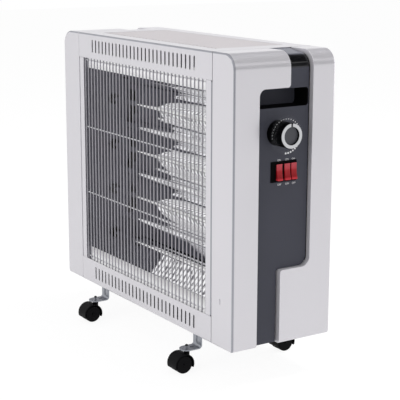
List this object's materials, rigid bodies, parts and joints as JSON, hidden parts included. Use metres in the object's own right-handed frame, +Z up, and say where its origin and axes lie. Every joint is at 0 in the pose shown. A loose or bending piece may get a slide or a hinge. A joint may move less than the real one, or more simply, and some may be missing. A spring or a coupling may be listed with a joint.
{
  "type": "quartz heater",
  "caption": "Portable quartz tube heater with a wire grille in front of a troughed reflector, rocker switches, a thermostat knob, carry pockets and twin-wheel casters.",
  "frame": {"origin": "on the floor under the middle of the whole heater's bounding box, knob and casters included", "axes": "+X to the end with the controls, -Y to the grille side that faces the room, +Z up"},
  "size_m": [0.58, 0.2427, 0.5185],
  "materials": {
    "silver_plastic": "satin, silver-white",
    "dark_plastic": "satin, dark grey",
    "black_plastic": "satin, black",
    "red_plastic": "gloss, translucent red",
    "silver_paint": "satin silver paint on sheet steel",
    "vent_paint": "light grey paint on perforated sheet",
    "shield_paint": "dark, heat-dulled",
    "plated_wire": "plated wire",
    "polished_sheet": "polished, lightly hammered",
    "quartz_glass": "clear",
    "resistance_wire": "glowing when on",
    "black_ceramic": "dull",
    "brass": "plain",
    "plated_steel": "zinc plated",
    "bright_ring": "bright",
    "caster_plastic": "semi-gloss black",
    "caster_wheel": "hard black plastic"
  },
  "bodies": {
    "body": {"grille": "plated_wire", "top_vent": "vent_paint", "top_cover": "silver_paint", "base_tray": "silver_paint", "back_panel": "silver_paint", "heating_coil_4": "resistance_wire", "heating_coil_3": "resistance_wire", "heating_coil_2": "resistance_wire", "heating_coil_1": "resistance_wire", "right_insert": "dark_plastic", "reflector": "polished_sheet", "right_foot_bracket": "plated_steel", "left_foot_bracket": "plated_steel", "right_cap_rear": "silver_plastic", "left_insert": "dark_plastic", "right_cap_front": "silver_plastic", "left_cap_front": "silver_plastic", "left_cap_rear": "silver_plastic", "switch_housing": "black_plastic", "right_heat_shield": "shield_paint", "left_heat_shield": "shield_paint", "cord_gland": "black_plastic", "quartz_tube_4": "quartz_glass", "quartz_tube_3": "quartz_glass", "quartz_tube_2": "quartz_glass", "quartz_tube_1": "quartz_glass", "right_tube_holder_4": "black_ceramic", "left_tube_holder_4": "black_ceramic", "right_tube_holder_3": "black_ceramic", "left_tube_holder_3": "black_ceramic", "right_tube_holder_2": "black_ceramic", "left_tube_holder_2": "black_ceramic", "right_tube_holder_1": "black_ceramic", "left_tube_holder_1": "black_ceramic", "front_left_caster_pin": "plated_steel", "rear_left_caster_pin": "plated_steel", "front_right_caster_pin": "plated_steel", "rear_right_caster_pin": "plated_steel", "thermostat": "plated_steel", "right_stile": "silver_paint", "left_stile": "silver_paint", "right_busbar": "brass", "left_busbar": "brass"},
    "knob": {"knob": "black_plastic", "knob_ring": "bright_ring"},
    "rocker_1": {"rocker_1": "red_plastic"},
    "rocker_2": {"rocker_2": "red_plastic"},
    "rocker_3": {"rocker_3": "red_plastic"},
    "front_left_caster_swivel": {"front_left_caster_hood": "caster_plastic"},
    "front_left_caster_roller_a": {"front_left_caster_wheel_a": "caster_wheel"},
    "front_left_caster_roller_b": {"front_left_caster_wheel_b": "caster_wheel"},
    "front_right_caster_swivel": {"front_right_caster_hood": "caster_plastic"},
    "front_right_caster_roller_a": {"front_right_caster_wheel_a": "caster_wheel"},
    "front_right_caster_roller_b": {"front_right_caster_wheel_b": "caster_wheel"},
    "rear_left_caster_swivel": {"rear_left_caster_hood": "caster_plastic"},
    "rear_left_caster_roller_a": {"rear_left_caster_wheel_a": "caster_wheel"},
    "rear_left_caster_roller_b": {"rear_left_caster_wheel_b": "caster_wheel"},
    "rear_right_caster_swivel": {"rear_right_caster_hood": "caster_plastic"},
    "rear_right_caster_roller_a": {"rear_right_caster_wheel_a": "caster_wheel"},
    "rear_right_caster_roller_b": {"rear_right_caster_wheel_b": "caster_wheel"}
  },
  "joints": [
    {"name": "knob_turn", "type": "hinge", "parent": "body", "child": "knob", "pos_m": [0.252, -0.0026, 0.3955], "axis": [1, 0, 0], "range_deg": [-270, 0]},
    {"name": "rocker_1_tilt", "type": "hinge", "parent": "body", "child": "rocker_1", "pos_m": [0.2555, -0.00567, 0.33775], "axis": [0, 1, 0], "range_deg": [0, 14]},
    {"name": "rocker_2_tilt", "type": "hinge", "parent": "body", "child": "rocker_2", "pos_m": [0.2555, 0.0064, 0.33775], "axis": [0, 1, 0], "range_deg": [0, 14]},
    {"name": "rocker_3_tilt", "type": "hinge", "parent": "body", "child": "rocker_3", "pos_m": [0.2555, 0.01847, 0.33775], "axis": [0, 1, 0], "range_deg": [0, 14]},
    {"name": "front_left_caster_swivel", "type": "hinge", "parent": "body", "child": "front_left_caster_swivel", "pos_m": [-0.171, -0.0926, 0.0225], "axis": [0, 0, 1], "continuous": true},
    {"name": "front_left_caster_roll_a", "type": "hinge", "parent": "front_left_caster_swivel", "child": "front_left_caster_roller_a", "pos_m": [-0.164, -0.1036, 0.015], "axis": [1, 0, 0], "continuous": true},
    {"name": "front_left_caster_roll_b", "type": "hinge", "parent": "front_left_caster_swivel", "child": "front_left_caster_roller_b", "pos_m": [-0.178, -0.1036, 0.015], "axis": [1, 0, 0], "continuous": true},
    {"name": "front_right_caster_swivel", "type": "hinge", "parent": "body", "child": "front_right_caster_swivel", "pos_m": [0.141, -0.0926, 0.0225], "axis": [0, 0, 1], "continuous": true},
    {"name": "front_right_caster_roll_a", "type": "hinge", "parent": "front_right_caster_swivel", "child": "front_right_caster_roller_a", "pos_m": [0.148, -0.1036, 0.015], "axis": [1, 0, 0], "continuous": true},
    {"name": "front_right_caster_roll_b", "type": "hinge", "parent": "front_right_caster_swivel", "child": "front_right_caster_roller_b", "pos_m": [0.134, -0.1036, 0.015], "axis": [1, 0, 0], "continuous": true},
    {"name": "rear_left_caster_swivel", "type": "hinge", "parent": "body", "child": "rear_left_caster_swivel", "pos_m": [-0.171, 0.1094, 0.0225], "axis": [0, 0, 1], "continuous": true},
    {"name": "rear_left_caster_roll_a", "type": "hinge", "parent": "rear_left_caster_swivel", "child": "rear_left_caster_roller_a", "pos_m": [-0.164, 0.0984, 0.015], "axis": [1, 0, 0], "continuous": true},
    {"name": "rear_left_caster_roll_b", "type": "hinge", "parent": "rear_left_caster_swivel", "child": "rear_left_caster_roller_b", "pos_m": [-0.178, 0.0984, 0.015], "axis": [1, 0, 0], "continuous": true},
    {"name": "rear_right_caster_swivel", "type": "hinge", "parent": "body", "child": "rear_right_caster_swivel", "pos_m": [0.141, 0.1094, 0.0225], "axis": [0, 0, 1], "continuous": true},
    {"name": "rear_right_caster_roll_a", "type": "hinge", "parent": "rear_right_caster_swivel", "child": "rear_right_caster_roller_a", "pos_m": [0.148, 0.0984, 0.015], "axis": [1, 0, 0], "continuous": true},
    {"name": "rear_right_caster_roll_b", "type": "hinge", "parent": "rear_right_caster_swivel", "child": "rear_right_caster_roller_b", "pos_m": [0.134, 0.0984, 0.015], "axis": [1, 0, 0], "continuous": true}
  ]
}
